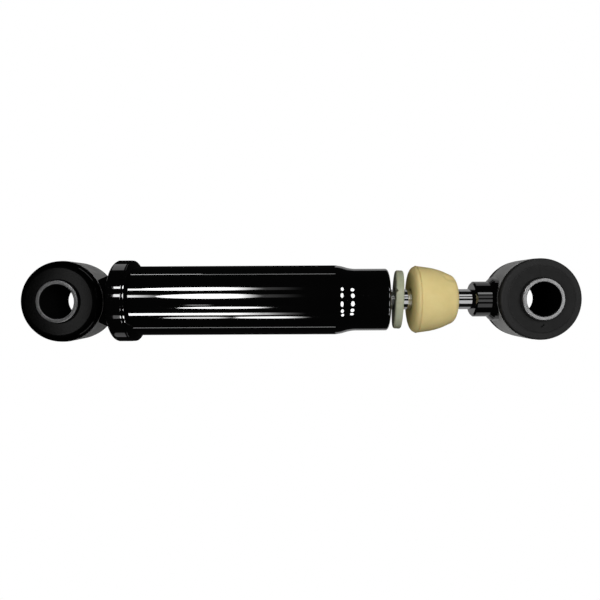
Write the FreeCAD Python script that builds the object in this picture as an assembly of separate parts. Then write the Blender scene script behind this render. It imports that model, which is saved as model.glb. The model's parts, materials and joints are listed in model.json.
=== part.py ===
import FreeCAD
import Part
import math
import os

# Cab shock absorber: an oil-filled twin-tube damper with a rubber-bushed eye at each end.
# Millimetres. The damper lies along X from the base eye to the rod eye, and both bores run
# along Z. The origin is the middle of the base eye's bore.

# Eyes: sleeve, rubber bush and ring, the same at both ends
bore_diameter = 20.0
sleeve_wall = 2.5
sleeve_length = 40.0
sleeve_chamfer = 0.6
rubber_wall = 8.0
ring_wall = 3.7
ring_width = 22.5
ring_chamfer = 0.9
flange_thickness = 5.75
flange_inset = 0.2
flange_round = 3.0
flange_lip_round = 0.6
collar_recess_depth = 1.0
collar_recess_width = 1.4

# Base cap and its joints to the eye ring and to the tube
boss_diameter = 26.0
cap_stand_off = 4.2
collar_step = 3.65
collar_width = 10.6
collar_front_round = 2.8
cap_floor = 3.4
eye_weld_leg = 2.4
weld_inset = 0.4
tube_weld_width = 4.3
tube_weld_crown = 2.2
tube_weld_round = 3.6

# Tubes, from the piston bore outwards
piston_bore = 27.0
pressure_wall = 1.5
oil_gap = 2.0
tube_wall = 2.0
swage_step = 2.2
tube_length = 133.2
swage_length = 7.6
swage_round = 20.0
neck_length = 22.3
lip_thickness = 2.2
lip_width = 6.0
lip_round = 1.4

# Rod guide, seal and their small parts
guide_bush_wall = 1.2
guide_bush_length = 15.0
guide_flange = 12.0
guide_spigot = 6.0
guide_land = 2.5
guide_edge = 0.6
seal_thickness = 6.0
seal_lip_depth = 1.6
seal_lip_length = 2.2
seal_lip_tip = 0.8
seal_washer_thickness = 1.7
o_ring_section = 1.8
o_ring_room = 1.3
drain_holes = 4
drain_diameter = 1.6
drain_wall = 2.0

# Foot valve
foot_flange = 6.0
foot_spigot = 5.0
foot_recess_depth = 3.2
foot_rim = 3.0
foot_slots = 4
foot_slot_width = 5.0
foot_slot_depth = 2.0
foot_ports = 6
foot_port_diameter = 2.6
foot_bleed_diameter = 1.8
foot_disc_thickness = 1.2
foot_disc_overlap = 1.2
foot_port_wall = 2.2
foot_pin_diameter = 5.0
foot_pin_head = 1.2
foot_pin_head_width = 2.2

# Check plates of the foot valve and the piston
plate_thickness = 0.8
plate_lift = 0.8
plate_land = 0.9

# Rod and piston
rod_diameter = 12.4
rod_spigot_diameter = 8.0
rod_tip_chamfer = 0.8
rebound_travel = 42.0
rebound_bumper_length = 6.0
rebound_bumper_wall = 5.0
rebound_bumper_round = 1.5
stop_ring_width = 3.0
stop_ring_depth = 0.9
stop_ring_wall = 3.6
stop_ring_to_shoulder = 7.0
backing_washer_thickness = 2.0
hub_wall = 1.0
backing_washer_rim = 3.6
piston_length = 11.4
piston_clearance = 0.25
band_length = 7.0
band_thickness = 0.9
piston_edge = 0.5
piston_ports = 6
piston_port_diameter = 2.2
piston_port_wall = 0.8
rebound_port_diameter = 1.8
piston_disc_thickness = 1.6
piston_disc_overlap = 1.0
nut_height = 6.5
nut_across_flats = 13.0
thread_end = 1.5

# Stop washer and bump stop, loose on the rod
washer_gap = 4.3
washer_thickness = 4.8
washer_diameter = 35.8
washer_round = 1.2
washer_groove_width = 3.4
washer_groove_depth = 1.4
washer_groove_angle = 18.0
washer_play = 0.5
washer_lean = 2.6
washer_tilt = 5.4
bump_gap = 5.2
bump_length = 27.0
bump_diameter = 42.0
bump_face_round = 3.7
bump_belly_length = 15.3
bump_belly_taper = 2.1
bump_belly_round = 34.0
bump_taper = 7.3
bump_nose_round = 6.4
bump_mouth = 1.4

# Rod eye shank
shank_gap = 10.5
shank_length = 11.9
shank_diameter = 21.5
shank_chamfer = 1.0
shank_socket_floor = 3.5

# Fits, as gaps on the radius or between faces
running_fit = 0.05
bond_fit = 0.02
loose_fit = 0.3
seat_gap = 0.02

# Radii worked out from the sizes above
bore_r = bore_diameter / 2
sleeve_r = bore_r + sleeve_wall
ring_inner_r = sleeve_r + rubber_wall
ring_r = ring_inner_r + ring_wall
flange_r = ring_r - flange_inset
boss_r = boss_diameter / 2
rod_r = rod_diameter / 2
rod_spigot_r = rod_spigot_diameter / 2
piston_bore_r = piston_bore / 2
pressure_r = piston_bore_r + pressure_wall
neck_inner_r = pressure_r + oil_gap
neck_r = neck_inner_r + tube_wall
tube_r = neck_r + swage_step
tube_inner_r = tube_r - tube_wall
collar_r = tube_r + collar_step
shank_r = shank_diameter / 2
guide_bore_r = rod_r + running_fit + guide_bush_wall
drain_r = guide_bore_r + drain_wall + drain_diameter / 2
foot_pin_r = foot_pin_diameter / 2
foot_recess_r = pressure_r - foot_rim
foot_bleed_r = foot_pin_r + foot_disc_overlap + foot_bleed_diameter / 2
foot_disc_r = foot_bleed_r + foot_bleed_diameter / 2 + foot_disc_overlap
foot_port_r = piston_bore_r - foot_port_wall - foot_port_diameter / 2
hub_r = rod_spigot_r + hub_wall
piston_groove_r = piston_bore_r - 2 * running_fit - band_thickness
piston_port_r = piston_groove_r - piston_port_wall - piston_port_diameter / 2
rebound_port_r = hub_r + piston_disc_overlap + rebound_port_diameter / 2
piston_disc_r = rebound_port_r + rebound_port_diameter / 2 + piston_disc_overlap
washer_r = washer_diameter / 2
bump_r = bump_diameter / 2

# Places along X, worked out from the base eye towards the rod eye
collar_x0 = ring_r + cap_stand_off
collar_x1 = collar_x0 + collar_width
socket_floor_x = collar_x0 + cap_floor
swage_x0 = socket_floor_x + tube_length
swage_x1 = swage_x0 + swage_length
tube_end_x = swage_x1 + neck_length
lip_x = tube_end_x - lip_thickness
seal_washer_x = lip_x - seal_washer_thickness
seal_x = seal_washer_x - seal_thickness
guide_shoulder_x = seal_x - guide_flange
guide_end_x = guide_shoulder_x - guide_spigot
foot_shoulder_x = socket_floor_x + foot_flange
foot_top_x = foot_shoulder_x + foot_spigot
foot_recess_x = socket_floor_x + foot_recess_depth
foot_disc_x = foot_recess_x - foot_disc_thickness
washer_x0 = tube_end_x + washer_gap
bump_x0 = washer_x0 + washer_thickness + bump_gap
bump_x1 = bump_x0 + bump_length
shank_x = bump_x1 + shank_gap
rod_eye_x = shank_x + shank_length + ring_r
rebound_x1 = guide_end_x - rebound_travel
rebound_x0 = rebound_x1 - rebound_bumper_length
stop_ring_x0 = rebound_x0 - stop_ring_width
shoulder_x = stop_ring_x0 - stop_ring_to_shoulder
piston_x1 = shoulder_x - backing_washer_thickness - plate_lift - plate_thickness - seat_gap
piston_x0 = piston_x1 - piston_length
disc_x = piston_x0 - piston_disc_thickness
nut_x = disc_x - nut_height
socket_end_x = shank_x + shank_length - shank_socket_floor

origin = FreeCAD.Vector(0, 0, 0)
along_x = FreeCAD.Vector(1, 0, 0)
along_y = FreeCAD.Vector(0, 1, 0)
along_z = FreeCAD.Vector(0, 0, 1)


def outline(points):
    """A closed wire in the XZ plane. A third value at a point rounds that corner."""
    places = [FreeCAD.Vector(point[0], 0, point[1]) for point in points]
    edges = []
    stretch_start = []
    stretch_end = []
    for i, place in enumerate(places):
        radius = points[i][2] if len(points[i]) > 2 else 0
        if not radius:
            stretch_end.append(place)
            stretch_start.append(place)
            continue
        back = (places[i - 1] - place).normalize()
        ahead = (places[(i + 1) % len(places)] - place).normalize()
        half_angle = back.getAngle(ahead) / 2
        reach = radius / math.tan(half_angle)
        middle = (back + ahead).normalize() * (radius / math.sin(half_angle) - radius)
        stretch_end.append(place + back * reach)
        stretch_start.append(place + ahead * reach)
        edges.append(Part.Arc(stretch_end[i], place + middle, stretch_start[i]).toShape())
    for i, start in enumerate(stretch_start):
        end = stretch_end[(i + 1) % len(places)]
        edges.append(Part.LineSegment(start, end).toShape())
    return Part.Wire(Part.__sortEdges__(edges))


def turned_about_x(points):
    """A solid of revolution about X, from (x, radius) points."""
    return Part.Face(outline(points)).revolve(origin, along_x, 360)


def turned_about_z(points, x):
    """A solid of revolution about the Z line at x, from (radius, z) points."""
    solid = Part.Face(outline(points)).revolve(origin, along_z, 360)
    solid.translate(FreeCAD.Vector(x, 0, 0))
    return solid


def tube_about_x(x0, x1, inner_r, outer_r, edge=0):
    """A plain tube or washer about X, with its outer edges rounded."""
    return turned_about_x([(x0, inner_r), (x0, outer_r, edge), (x1, outer_r, edge), (x1, inner_r)])


def holes_about_x(count, pitch_r, diameter, x0, x1, turn=0):
    """Round holes along X, evenly spaced on a circle."""
    holes = []
    for i in range(count):
        angle = math.radians(turn + 360 * i / count)
        base = FreeCAD.Vector(x0, pitch_r * math.cos(angle), pitch_r * math.sin(angle))
        holes.append(Part.makeCylinder(diameter / 2, x1 - x0, base, along_x))
    return Part.makeCompound(holes)


def eye_ring(x):
    half = ring_width / 2
    return turned_about_z([
        (ring_inner_r, -half),
        (ring_r - ring_chamfer, -half),
        (ring_r, -half + ring_chamfer),
        (ring_r, half - ring_chamfer),
        (ring_r - ring_chamfer, half),
        (ring_inner_r, half),
    ], x)


def eye_bush(x):
    """Rubber bush with a rounded flange over each end of the ring and a groove at the sleeve."""
    half = ring_width / 2 + bond_fit
    face = half + flange_thickness
    inner = sleeve_r + running_fit
    groove = inner + collar_recess_width
    upper = [
        (inner, face - collar_recess_depth),
        (groove, face),
        (flange_r, face, flange_round),
        (flange_r, half, flange_lip_round),
        (ring_inner_r - bond_fit, half),
    ]
    lower = [(point[0], -point[1], *point[2:]) for point in reversed(upper)]
    return turned_about_z(upper + lower, x)


def eye_sleeve(x):
    half = sleeve_length / 2
    upper = [
        (bore_r, half - sleeve_chamfer),
        (bore_r + sleeve_chamfer, half),
        (sleeve_r - sleeve_chamfer, half),
        (sleeve_r, half - sleeve_chamfer),
    ]
    lower = [(radius, -z) for radius, z in reversed(upper)]
    return turned_about_z(upper + lower, x)


def ring_envelope(x):
    """The full cylinder of an eye ring, tall enough to cut a saddle through any shank."""
    height = 2 * sleeve_length
    base = FreeCAD.Vector(x, 0, -height / 2)
    return Part.makeCylinder(ring_r + bond_fit, height, base, along_z)


def ring_height_slab(x0, x1, inset):
    """The space between the planes of an eye ring's two end faces, less the inset."""
    height = ring_width - 2 * inset
    width = 2 * ring_r
    corner = FreeCAD.Vector(x0, -width / 2, -height / 2)
    return Part.makeBox(x1 - x0, width, height, corner)


def eye_weld(eye_x, outer_x, core_r):
    """The fillet weld where a round shank of core_r meets an eye ring, from its outer end."""
    outward = math.copysign(1, outer_x - eye_x)
    weld_r = core_r + eye_weld_leg
    saddle_x = eye_x + outward * math.sqrt(ring_r ** 2 - weld_r ** 2)
    crown_x = eye_x + outward * ring_r
    toe_x = crown_x + outward * eye_weld_leg
    bead = turned_about_x([
        (saddle_x, core_r + bond_fit),
        (saddle_x, weld_r),
        (crown_x, weld_r, eye_weld_leg / 2),
        (toe_x, core_r + bond_fit),
    ])
    ends = sorted((eye_x, toe_x))
    slab = ring_height_slab(ends[0], ends[1], weld_inset)
    return bead.common(slab).cut(ring_envelope(eye_x))


def base_cap():
    """Boss welded to the base eye, and the collar with the socket that takes the tube."""
    boss = Part.makeCylinder(boss_r, collar_x0, origin, along_x)
    boss = boss.common(ring_height_slab(0, collar_x0, 0)).cut(ring_envelope(0))
    socket_r = tube_r + bond_fit
    collar = turned_about_x([
        (collar_x0, 0),
        (collar_x0, collar_r, collar_front_round),
        (collar_x1, collar_r),
        (collar_x1, socket_r),
        (socket_floor_x, socket_r),
        (socket_floor_x, 0),
    ])
    return collar.fuse(boss)


def tube_weld():
    """Full fillet from the collar's rim, rounded over its crown, down to the tube."""
    inner = tube_r + bond_fit
    return turned_about_x([
        (collar_x1, inner),
        (collar_x1, collar_r),
        (collar_x1 + tube_weld_crown, collar_r, tube_weld_round),
        (collar_x1 + tube_weld_width, inner),
    ])


def reservoir_tube():
    """Outer tube, swaged down to a neck whose end is rolled in over the seal washer."""
    return turned_about_x([
        (socket_floor_x, tube_inner_r),
        (socket_floor_x, tube_r),
        (swage_x0, tube_r, swage_round),
        (swage_x1, neck_r, swage_round),
        (tube_end_x, neck_r, lip_round),
        (tube_end_x, neck_inner_r - lip_width),
        (lip_x, neck_inner_r - lip_width),
        (lip_x, neck_inner_r),
        (swage_x1, neck_inner_r, swage_round),
        (swage_x0, tube_inner_r, swage_round),
    ])


def foot_valve_body():
    """Ported body, pressed into the pressure tube and standing on the cap's floor."""
    spigot_r = piston_bore_r - bond_fit
    body = turned_about_x([
        (socket_floor_x, foot_recess_r),
        (socket_floor_x, pressure_r),
        (foot_shoulder_x, pressure_r),
        (foot_shoulder_x, spigot_r),
        (foot_top_x, spigot_r, plate_land / 2),
        (foot_top_x, foot_pin_r + bond_fit),
        (foot_recess_x, foot_pin_r + bond_fit),
        (foot_recess_x, foot_recess_r),
    ])
    for i in range(foot_slots):
        corner = FreeCAD.Vector(socket_floor_x, -foot_slot_width / 2, 0)
        slot = Part.makeBox(foot_slot_depth, foot_slot_width, pressure_r + foot_rim, corner)
        slot.rotate(origin, along_x, 45 + 360 * i / foot_slots)
        body = body.cut(slot)
    ports = holes_about_x(foot_ports, foot_port_r, foot_port_diameter, socket_floor_x, foot_top_x)
    bleeds = holes_about_x(foot_ports, foot_bleed_r, foot_bleed_diameter, socket_floor_x, foot_top_x)
    return body.cut(ports).cut(bleeds)


def foot_valve_discs():
    return tube_about_x(foot_disc_x, foot_recess_x, foot_pin_r + bond_fit, foot_disc_r)


def foot_valve_pin():
    """Rivet through the foot valve: its lower head holds the discs, its collar stops the plate."""
    head_r = foot_pin_r + foot_pin_head_width
    stop_x = foot_top_x + seat_gap + plate_thickness + plate_lift
    return turned_about_x([
        (foot_disc_x - foot_pin_head, 0),
        (foot_disc_x - foot_pin_head, head_r, foot_pin_head / 2),
        (foot_disc_x, head_r),
        (foot_disc_x, foot_pin_r),
        (stop_x, foot_pin_r),
        (stop_x, head_r),
        (stop_x + foot_pin_head, head_r, foot_pin_head / 2),
        (stop_x + foot_pin_head, 0),
    ])


def check_plate(x, guide_r, port_r, port_diameter, count, window_r, window_diameter):
    """Flat ring that closes a circle of ports, with windows over the inner circle."""
    outer_r = port_r + port_diameter / 2 + plate_land
    plate = tube_about_x(x, x + plate_thickness, guide_r + running_fit, outer_r)
    return plate.cut(holes_about_x(count, window_r, window_diameter, x, x + plate_thickness))


def rod_guide():
    """Stepped guide: its spigot centres the pressure tube, its flange fills the neck."""
    flange_outer_r = neck_inner_r - bond_fit
    o_ring_outer_r = neck_inner_r - bond_fit
    groove_r = o_ring_outer_r - o_ring_section - running_fit
    groove_width = o_ring_section * o_ring_room
    groove_x = (guide_shoulder_x + guide_land + seal_x - groove_width) / 2
    guide = turned_about_x([
        (guide_end_x, guide_bore_r),
        (guide_end_x, piston_bore_r - bond_fit, guide_edge),
        (guide_shoulder_x, piston_bore_r - bond_fit),
        (guide_shoulder_x, pressure_r),
        (guide_shoulder_x + guide_land, flange_outer_r),
        (groove_x, flange_outer_r),
        (groove_x, groove_r),
        (groove_x + groove_width, groove_r),
        (groove_x + groove_width, flange_outer_r),
        (seal_x, flange_outer_r, guide_edge),
        (seal_x, guide_bore_r),
    ])
    drains = holes_about_x(drain_holes, drain_r, drain_diameter, guide_end_x, seal_x)
    section_r = o_ring_section / 2
    middle = FreeCAD.Vector(groove_x + groove_width / 2, 0, 0)
    o_ring = Part.makeTorus(o_ring_outer_r - section_r, section_r, middle, along_x)
    return guide.cut(drains), o_ring


def guide_bush():
    start_x = (guide_end_x + seal_x - guide_bush_length) / 2
    return tube_about_x(
        start_x, start_x + guide_bush_length, rod_r + running_fit, guide_bore_r - bond_fit)


def rod_seal():
    """Rubber seal that fills the neck, with an oil lip inwards and a dust lip outwards."""
    lip_r = rod_r + running_fit
    body_r = lip_r + seal_lip_depth
    outer_r = neck_inner_r - bond_fit
    return turned_about_x([
        (seal_x, body_r),
        (seal_x, outer_r),
        (seal_washer_x, outer_r),
        (seal_washer_x, body_r),
        (seal_washer_x - seal_lip_tip, lip_r),
        (seal_washer_x - seal_lip_length, body_r),
        (seal_x + seal_lip_length, body_r),
        (seal_x + seal_lip_tip, lip_r),
    ])


def piston_rod():
    """Chromed rod with a groove for the stop ring and a spigot that carries the piston."""
    groove_r = rod_r - stop_ring_depth
    tip_x = nut_x - thread_end
    top_x = socket_end_x - seat_gap
    return turned_about_x([
        (tip_x, 0),
        (tip_x, rod_spigot_r - rod_tip_chamfer),
        (tip_x + rod_tip_chamfer, rod_spigot_r),
        (shoulder_x, rod_spigot_r),
        (shoulder_x, rod_r),
        (stop_ring_x0, rod_r),
        (stop_ring_x0, groove_r),
        (rebound_x0, groove_r),
        (rebound_x0, rod_r),
        (top_x - rod_tip_chamfer, rod_r),
        (top_x, rod_r - rod_tip_chamfer),
        (top_x, 0),
    ])


def piston_lift_stop():
    """Washer under the rod's shoulder; its hub clamps the piston and guides the check plate."""
    inner_r = rod_spigot_r + bond_fit
    washer_x = shoulder_x - backing_washer_thickness
    return turned_about_x([
        (piston_x1, inner_r),
        (piston_x1, hub_r),
        (washer_x, hub_r),
        (washer_x, hub_r + backing_washer_rim),
        (shoulder_x, hub_r + backing_washer_rim, backing_washer_thickness / 3),
        (shoulder_x, inner_r),
    ])


def piston():
    """Sintered piston with a groove for its band and two circles of ports."""
    outer_r = piston_bore_r - piston_clearance
    band_x0 = (piston_x0 + piston_x1 - band_length) / 2
    band_x1 = band_x0 + band_length
    body = turned_about_x([
        (piston_x0, rod_spigot_r + bond_fit),
        (piston_x0, outer_r, piston_edge),
        (band_x0, outer_r),
        (band_x0, piston_groove_r),
        (band_x1, piston_groove_r),
        (band_x1, outer_r),
        (piston_x1, outer_r, piston_edge),
        (piston_x1, rod_spigot_r + bond_fit),
    ])
    intakes = holes_about_x(piston_ports, piston_port_r, piston_port_diameter, piston_x0, piston_x1)
    rebounds = holes_about_x(piston_ports, rebound_port_r, rebound_port_diameter, piston_x0, piston_x1)
    band = tube_about_x(
        band_x0 + running_fit, band_x1 - running_fit,
        piston_groove_r + running_fit, piston_bore_r - running_fit)
    return body.cut(intakes).cut(rebounds), band


def piston_nut():
    """Hexagon nut with chamfered corners, bored for the rod's spigot."""
    corner_r = nut_across_flats / math.sqrt(3)
    corners = []
    for i in range(7):
        angle = math.radians(60 * i)
        corners.append(FreeCAD.Vector(nut_x, corner_r * math.cos(angle), corner_r * math.sin(angle)))
    prism = Part.Face(Part.makePolygon(corners)).extrude(along_x * nut_height)
    corner_cut = corner_r - nut_across_flats / 2
    blank = turned_about_x([
        (nut_x, rod_spigot_r + bond_fit),
        (nut_x, nut_across_flats / 2),
        (nut_x + corner_cut, corner_r),
        (disc_x, corner_r),
        (disc_x, rod_spigot_r + bond_fit),
    ])
    return prism.common(blank)


def stop_washer():
    """Loose moulded washer with a vent groove across its face, leaning both ways on the rod."""
    washer = tube_about_x(
        washer_x0, washer_x0 + washer_thickness, rod_r + washer_play, washer_r, washer_round)
    edge = FreeCAD.Vector(washer_x0, washer_groove_width / 2, 0)
    other_edge = FreeCAD.Vector(washer_x0, -washer_groove_width / 2, 0)
    floor = FreeCAD.Vector(washer_x0 + washer_groove_depth, 0, 0)
    section = Part.Face(Part.makePolygon([edge, floor, other_edge, edge]))
    groove = section.extrude(along_z * washer_diameter)
    groove.rotate(origin, along_x, -washer_groove_angle)
    washer = washer.cut(groove)
    middle = FreeCAD.Vector(washer_x0 + washer_thickness / 2, 0, 0)
    washer.rotate(middle, along_z, -washer_lean)
    washer.rotate(middle, along_y, -washer_tilt)
    return washer


def bump_stop():
    """Foam bump stop: a flat face with a rounded rim, a domed belly and a blunt nose."""
    inner_r = rod_r + loose_fit
    return turned_about_x([
        (bump_x0 + bump_mouth, inner_r),
        (bump_x0, inner_r + bump_mouth),
        (bump_x0, bump_r, bump_face_round),
        (bump_x0 + bump_belly_length, bump_r - bump_belly_taper, bump_belly_round),
        (bump_x1, bump_r - bump_taper, bump_nose_round),
        (bump_x1, inner_r),
    ])


def rod_eye_shank():
    """Round shank, bored for the rod and saddled onto the rod eye's ring."""
    socket_r = rod_r + bond_fit
    shank = turned_about_x([
        (shank_x, socket_r),
        (shank_x, shank_r - shank_chamfer),
        (shank_x + shank_chamfer, shank_r),
        (rod_eye_x, shank_r),
        (rod_eye_x, 0),
        (socket_end_x, 0),
        (socket_end_x, socket_r),
    ])
    return shank.cut(ring_envelope(rod_eye_x))


guide_solid, o_ring_solid = rod_guide()
piston_solid, band_solid = piston()
parts = {
    "base_eye_ring": eye_ring(0),
    "base_eye_bush": eye_bush(0),
    "base_eye_sleeve": eye_sleeve(0),
    "base_eye_weld": eye_weld(0, collar_x0, boss_r),
    "base_cap": base_cap(),
    "tube_weld": tube_weld(),
    "reservoir_tube": reservoir_tube(),
    "pressure_tube": tube_about_x(foot_shoulder_x, guide_shoulder_x, piston_bore_r, pressure_r),
    "foot_valve_body": foot_valve_body(),
    "foot_valve_discs": foot_valve_discs(),
    "foot_valve_pin": foot_valve_pin(),
    "foot_valve_plate": check_plate(
        foot_top_x + seat_gap, foot_pin_r, foot_port_r, foot_port_diameter,
        foot_ports, foot_bleed_r, foot_bleed_diameter),
    "rod_guide": guide_solid,
    "guide_o_ring": o_ring_solid,
    "guide_bush": guide_bush(),
    "rod_seal": rod_seal(),
    "seal_washer": tube_about_x(
        seal_washer_x, lip_x, rod_r + loose_fit, neck_inner_r - bond_fit),
    "piston_rod": piston_rod(),
    "rebound_stop_ring": tube_about_x(
        stop_ring_x0 + bond_fit, rebound_x0, rod_r - stop_ring_depth + bond_fit, rod_r + stop_ring_wall),
    "rebound_bumper": tube_about_x(
        rebound_x0, rebound_x1, rod_r + bond_fit, rod_r + rebound_bumper_wall, rebound_bumper_round),
    "piston_lift_stop": piston_lift_stop(),
    "piston_check_plate": check_plate(
        piston_x1 + seat_gap, hub_r, piston_port_r, piston_port_diameter,
        piston_ports, rebound_port_r, rebound_port_diameter),
    "piston": piston_solid,
    "piston_band": band_solid,
    "piston_discs": tube_about_x(disc_x, piston_x0, rod_spigot_r + bond_fit, piston_disc_r),
    "piston_nut": piston_nut(),
    "stop_washer": stop_washer(),
    "bump_stop": bump_stop(),
    "rod_eye_shank": rod_eye_shank(),
    "rod_eye_weld": eye_weld(rod_eye_x, shank_x, shank_r),
    "rod_eye_ring": eye_ring(rod_eye_x),
    "rod_eye_bush": eye_bush(rod_eye_x),
    "rod_eye_sleeve": eye_sleeve(rod_eye_x),
}

os.makedirs("parts", exist_ok=True)
for name, shape in parts.items():
    solid = shape.Solids[0] if len(shape.Solids) == 1 else shape
    solid.exportStep(f"parts/{name}.step")
    print(f"{name:20s} solids {len(shape.Solids)} valid {shape.isValid()} volume {shape.Volume:10.2f}")
print("eye to eye", round(rod_eye_x, 3), "tube end", round(tube_end_x, 3))
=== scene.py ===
import json
import math
import random

import bmesh
import bpy
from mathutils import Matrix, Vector


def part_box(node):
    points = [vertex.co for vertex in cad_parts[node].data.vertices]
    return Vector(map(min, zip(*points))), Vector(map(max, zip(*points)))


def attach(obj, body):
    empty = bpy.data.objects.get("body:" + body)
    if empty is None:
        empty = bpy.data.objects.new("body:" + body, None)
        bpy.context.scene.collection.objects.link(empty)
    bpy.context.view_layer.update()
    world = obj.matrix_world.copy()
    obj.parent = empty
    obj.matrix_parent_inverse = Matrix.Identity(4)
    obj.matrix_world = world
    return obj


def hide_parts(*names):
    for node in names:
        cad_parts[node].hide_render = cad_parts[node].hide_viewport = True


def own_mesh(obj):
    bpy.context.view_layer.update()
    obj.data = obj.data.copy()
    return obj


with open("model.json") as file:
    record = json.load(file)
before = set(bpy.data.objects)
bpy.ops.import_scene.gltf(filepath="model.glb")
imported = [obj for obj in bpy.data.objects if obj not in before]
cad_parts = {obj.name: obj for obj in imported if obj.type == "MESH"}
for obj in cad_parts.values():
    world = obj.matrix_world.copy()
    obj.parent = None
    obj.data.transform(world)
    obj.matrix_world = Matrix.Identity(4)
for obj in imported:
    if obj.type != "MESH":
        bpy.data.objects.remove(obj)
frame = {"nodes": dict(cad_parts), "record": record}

# Cab shock absorber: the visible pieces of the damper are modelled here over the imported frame.
# Sizes are written in millimetres and turned into metres by MM where an operator takes them.
MM = 0.001
ALONG_X = (1.0, 0.0, 0.0)
ALONG_Z = (0.0, 0.0, 1.0)
FULL_TURN = 2 * math.pi

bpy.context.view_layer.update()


def node_box(node):
    """The lowest and highest corners of a CAD node at rest, in millimetres."""
    low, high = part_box(node)
    return low / MM, high / MM


# Gap left between pieces that touch on the real one, and length of the tool that cuts saddles
contact_gap = 0.02
saddle_depth = 120.0

# Sizes of the eyes
ring_high = node_box("base_eye_ring")[1]
ring_r = ring_high.x
ring_half = ring_high.z
ring_inner_r = 20.5
ring_edge = 0.9
sleeve_high = node_box("base_eye_sleeve")[1]
sleeve_r = sleeve_high.x
sleeve_half = sleeve_high.z
bore_r = 10.0
sleeve_edge = 0.55
bush_high = node_box("base_eye_bush")[1]
flange_r = bush_high.x
flange_face = bush_high.z
rod_eye_low, rod_eye_high = node_box("rod_eye_ring")
rod_eye_x = (rod_eye_low.x + rod_eye_high.x) / 2
base_rim_round = 4.4
rod_shoulder_r = 19.3
rod_step_r = 19.9
rod_rim_round = 1.5
base_weld_r = 11.0
base_weld_leg = 1.6
rod_weld_leg = 2.4

# Sizes of the base cap and tube
cap_high = node_box("base_cap")[1]
collar_x1 = cap_high.x
collar_r = cap_high.y
collar_x0 = collar_x1 - 10.6
collar_front_round = 2.8
collar_back_round = 0.6
boss_x0 = 12.0
boss_x1 = collar_x0 + 3.0
boss_half_width = 9.6
boss_widening = 1.82
boss_round = 2.4
tube_low, tube_high = node_box("reservoir_tube")
socket_floor_x = tube_low.x
tube_end_x = tube_high.x
tube_r = tube_high.y
tube_wall = 2.0
neck_r = tube_r - 2.2
swage_x0 = tube_end_x - 29.9
swage_x1 = tube_end_x - 22.3
swage_round = 20.0
lip_depth = 6.0
lip_thick = 2.2

# Sizes of the rod, washer, bump stop and shank
rod_low, rod_high = node_box("piston_rod")
rod_r = rod_high.y
spigot_r = 4.0
rod_shoulder_x = node_box("piston_lift_stop")[1].x
stop_ring_low, stop_ring_high = node_box("rebound_stop_ring")
washer_low, washer_high = node_box("stop_washer")
washer_thick = 4.8
washer_r = 17.9
washer_bore_r = rod_r + 0.5
washer_lean = -5.4
washer_swing = -2.6
bump_low, bump_high = node_box("bump_stop")
bump_bore_r = rod_r + 0.15
bump_rim_r = 21.0
bump_belly_r = 18.9
bump_nose_r = 13.7
bump_dimple = Vector((229.2, 13.2, 10.5))
shank_low, shank_high = node_box("rod_eye_shank")
shank_x = shank_low.x
shank_r = shank_high.y
shank_chamfer = 1.0


# Modelling


def leave_nothing_selected():
    if bpy.context.mode != "OBJECT":
        bpy.ops.object.mode_set(mode="OBJECT")
    bpy.ops.object.select_all(action="DESELECT")


def select_only(piece):
    leave_nothing_selected()
    piece.select_set(True)
    bpy.context.view_layer.objects.active = piece


def edit(piece):
    select_only(piece)
    bpy.ops.object.mode_set(mode="EDIT")


def name_piece(name):
    piece = bpy.context.object
    piece.name = name
    piece.data.name = name
    return piece


def pick_points(piece, wanted):
    """In edit mode, selects the points whose place in millimetres passes the test."""
    bpy.ops.mesh.select_mode(type="VERT")
    bpy.ops.mesh.select_all(action="DESELECT")
    mesh = bmesh.from_edit_mesh(piece.data)
    for point in mesh.verts:
        point.select_set(wanted(point.co / MM))
    mesh.select_flush(True)
    bmesh.update_edit_mesh(piece.data)


def round_corner(piece, place, back, ahead, radius, arc):
    """Rounds one corner of a profile, in edit mode."""
    half_angle = (back - place).angle(ahead - place) / 2
    pick_points(piece, lambda spot: (spot - place).length < 0.01)
    bpy.ops.mesh.bevel(
        offset=radius / math.tan(half_angle) * MM, segments=arc, profile=0.5,
        affect="VERTICES", clamp_overlap=False)


def turned(name, corners, axis, steps=192, arc=7, closed=True):
    """A turned piece: one point drawn out into a profile, its corners rounded, then spun.

    A corner is (along, out) or (along, out, radius) in the XZ plane.
    """
    leave_nothing_selected()
    bpy.ops.mesh.primitive_plane_add(size=MM)
    piece = name_piece(name)
    bpy.ops.object.mode_set(mode="EDIT")
    bpy.ops.mesh.select_mode(type="VERT")
    bpy.ops.mesh.select_all(action="SELECT")
    bpy.ops.mesh.merge(type="CENTER")
    places = [Vector((corner[0], 0, corner[1])) for corner in corners]
    bpy.ops.transform.translate(value=places[0] * MM)
    ahead = places[1:] + places[:1] if closed else places[1:]
    for here, there in zip(places, ahead):
        bpy.ops.mesh.extrude_region_move(TRANSFORM_OT_translate={"value": (there - here) * MM})
    bpy.ops.mesh.select_all(action="SELECT")
    bpy.ops.mesh.remove_doubles(threshold=0.001 * MM)
    for i, corner in enumerate(corners):
        if len(corner) > 2:
            after = places[(i + 1) % len(places)]
            round_corner(piece, places[i], places[i - 1], after, corner[2], arc)
    bpy.ops.mesh.select_all(action="SELECT")
    bpy.ops.mesh.spin(steps=steps, angle=FULL_TURN, center=(0, 0, 0), axis=axis)
    close_and_face_out()
    return piece


def close_and_face_out():
    bpy.ops.mesh.select_all(action="SELECT")
    bpy.ops.mesh.remove_doubles(threshold=0.001 * MM)
    bpy.ops.mesh.normals_make_consistent(inside=False)
    bpy.ops.object.mode_set(mode="OBJECT")


def shift(piece, along_x):
    """Moves all of a piece's mesh along X."""
    edit(piece)
    bpy.ops.mesh.select_all(action="SELECT")
    bpy.ops.transform.translate(value=(along_x * MM, 0, 0))
    bpy.ops.object.mode_set(mode="OBJECT")


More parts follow.
